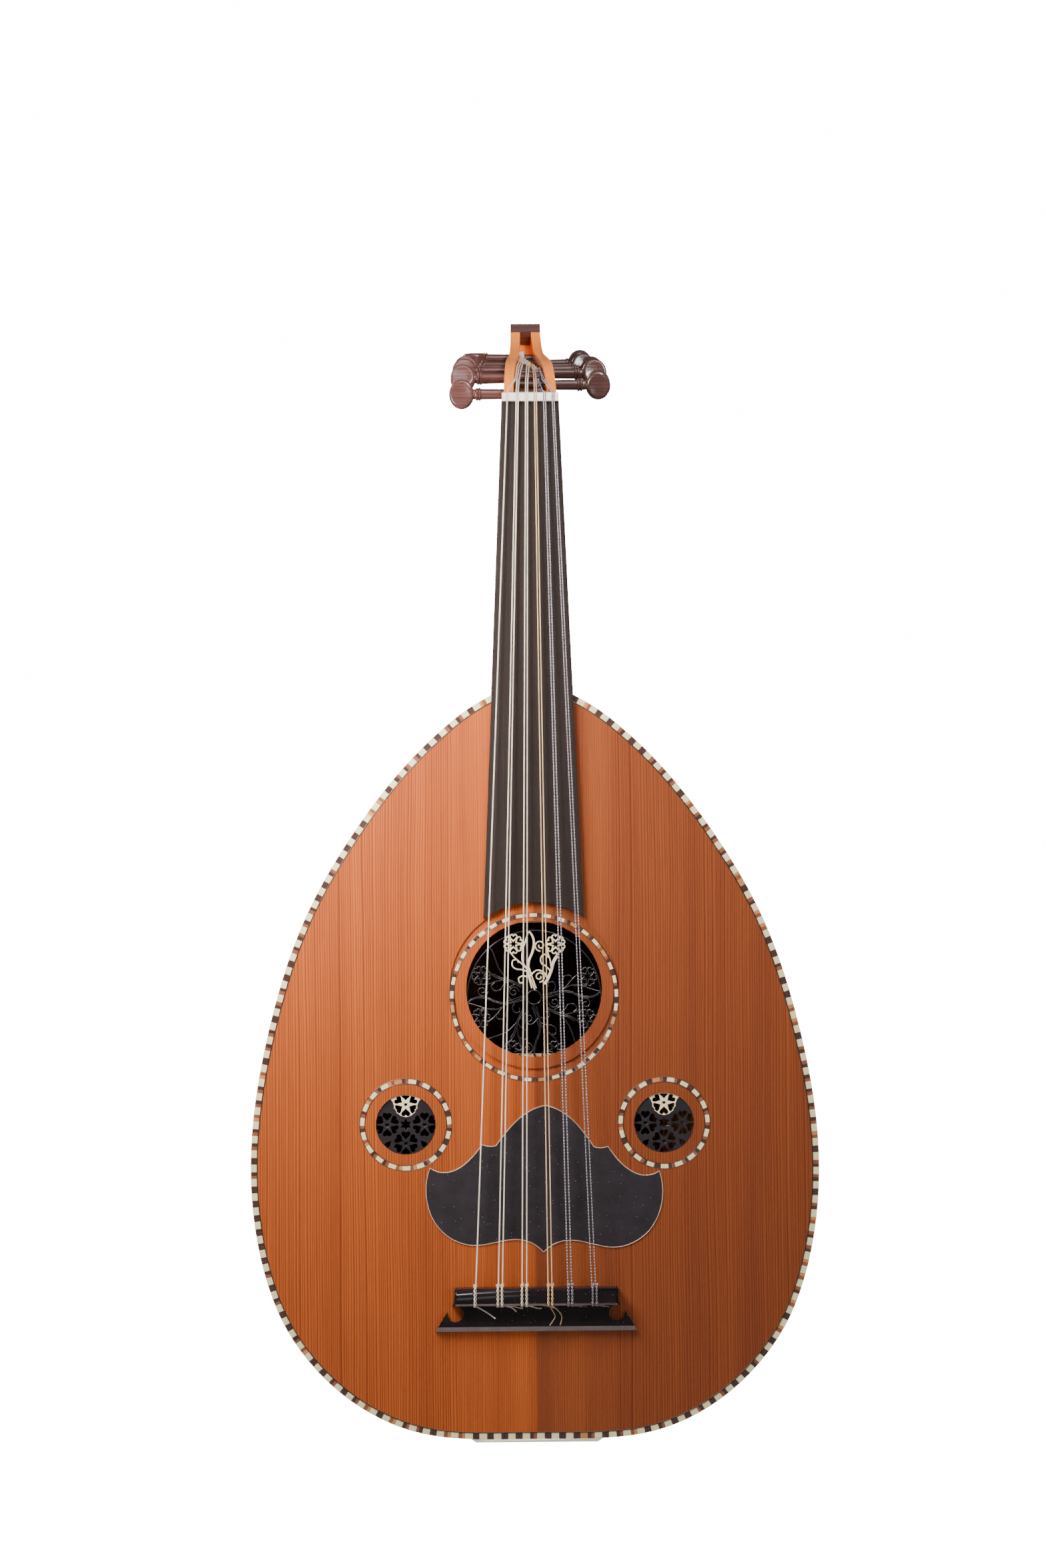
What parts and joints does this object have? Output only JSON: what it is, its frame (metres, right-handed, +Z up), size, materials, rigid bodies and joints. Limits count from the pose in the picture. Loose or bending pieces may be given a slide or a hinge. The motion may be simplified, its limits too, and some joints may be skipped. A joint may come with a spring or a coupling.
{
  "type": "oud",
  "caption": "Oud with a ribbed bowl, cedar face, fretwork rosettes, tiled edging, tie bridge, fretless fingerboard and a bent-back pegbox with turning pegs.",
  "frame": {"origin": "the point where the end clasp meets the ground, in the plane of the face", "axes": "+Z up the neck, -Y out of the face towards the player's audience, +X towards the treble side"},
  "size_m": [0.3743, 0.198, 0.7541],
  "materials": {
    "rosewood": "polished",
    "bowl_wood": "semi-gloss varnish",
    "string_wound": "satin",
    "string_cream": "satin",
    "string_gold": "satin",
    "string_clear": "satin translucent",
    "soundboard_wood": "satin",
    "spruce": "bare",
    "tile_inlay": "satin",
    "black_rosette": "glossy lacquer",
    "cream_wood": "satin",
    "black_veneer": "matte",
    "black_lacquer": "high gloss",
    "ebony": "satin",
    "neck_wood": "semi-gloss varnish",
    "bone": "polished",
    "stained_maple": "semi-gloss varnish"
  },
  "bodies": {
    "body": {"bridge": "black_lacquer", "edge_purfling": "tile_inlay", "end_clasp": "cream_wood", "fingerboard": "ebony", "left_rosette": "black_rosette", "main_rosette": "black_rosette", "neck": "neck_wood", "neck_block": "spruce", "nut": "bone", "pegbox_back": "stained_maple", "pegbox_finial": "rosewood", "pegbox_left_cheek": "stained_maple", "pegbox_right_cheek": "stained_maple", "pickguard": "black_veneer", "rib_01": "bowl_wood", "rib_02": "bowl_wood", "rib_03": "bowl_wood", "rib_04": "bowl_wood", "rib_05": "bowl_wood", "rib_06": "bowl_wood", "rib_07": "bowl_wood", "rib_08": "bowl_wood", "rib_09": "bowl_wood", "rib_10": "bowl_wood", "rib_11": "bowl_wood", "rib_12": "bowl_wood", "rib_13": "bowl_wood", "rib_14": "bowl_wood", "rib_15": "bowl_wood", "right_rosette": "black_rosette", "rosette_light_inlays": "cream_wood", "soundboard_braces": "spruce", "soundboard_inner_left": "soundboard_wood", "soundboard_inner_right": "soundboard_wood", "soundboard_outer_left": "soundboard_wood", "soundboard_outer_right": "soundboard_wood", "soundhole_rings": "tile_inlay", "string_01": "string_wound", "string_02": "string_cream", "string_03": "string_cream", "string_04": "string_cream", "string_05": "string_cream", "string_06": "string_gold", "string_07": "string_gold", "string_08": "string_clear", "string_09": "string_clear", "string_10": "string_clear", "string_11": "string_clear", "tail_block": "spruce"},
    "peg_01": {"peg_01": "rosewood"},
    "peg_02": {"peg_02": "rosewood"},
    "peg_03": {"peg_03": "rosewood"},
    "peg_04": {"peg_04": "rosewood"},
    "peg_05": {"peg_05": "rosewood"},
    "peg_06": {"peg_06": "rosewood"},
    "peg_07": {"peg_07": "rosewood"},
    "peg_08": {"peg_08": "rosewood"},
    "peg_09": {"peg_09": "rosewood"},
    "peg_10": {"peg_10": "rosewood"},
    "peg_11": {"peg_11": "rosewood"}
  },
  "joints": [
    {"name": "peg_01_turn", "type": "hinge", "parent": "body", "child": "peg_01", "pos_m": [0, 0.01247, 0.6912], "axis": [-1, 0, 0], "continuous": true},
    {"name": "peg_02_turn", "type": "hinge", "parent": "body", "child": "peg_02", "pos_m": [0, 0.0222, 0.6981], "axis": [1, 0, 0], "continuous": true},
    {"name": "peg_03_turn", "type": "hinge", "parent": "body", "child": "peg_03", "pos_m": [0, 0.03276, 0.70367], "axis": [-1, 0, 0], "continuous": true},
    {"name": "peg_04_turn", "type": "hinge", "parent": "body", "child": "peg_04", "pos_m": [0, 0.04396, 0.70779], "axis": [1, 0, 0], "continuous": true},
    {"name": "peg_05_turn", "type": "hinge", "parent": "body", "child": "peg_05", "pos_m": [0, 0.05576, 0.71044], "axis": [-1, 0, 0], "continuous": true},
    {"name": "peg_06_turn", "type": "hinge", "parent": "body", "child": "peg_06", "pos_m": [0, 0.06856, 0.7127], "axis": [1, 0, 0], "continuous": true},
    {"name": "peg_07_turn", "type": "hinge", "parent": "body", "child": "peg_07", "pos_m": [0, 0.08136, 0.71496], "axis": [-1, 0, 0], "continuous": true},
    {"name": "peg_08_turn", "type": "hinge", "parent": "body", "child": "peg_08", "pos_m": [0, 0.09416, 0.71722], "axis": [1, 0, 0], "continuous": true},
    {"name": "peg_09_turn", "type": "hinge", "parent": "body", "child": "peg_09", "pos_m": [0, 0.10697, 0.71947], "axis": [-1, 0, 0], "continuous": true},
    {"name": "peg_10_turn", "type": "hinge", "parent": "body", "child": "peg_10", "pos_m": [0, 0.12049, 0.72226], "axis": [1, 0, 0], "continuous": true},
    {"name": "peg_11_turn", "type": "hinge", "parent": "body", "child": "peg_11", "pos_m": [0, 0.13399, 0.72752], "axis": [-1, 0, 0], "continuous": true}
  ]
}
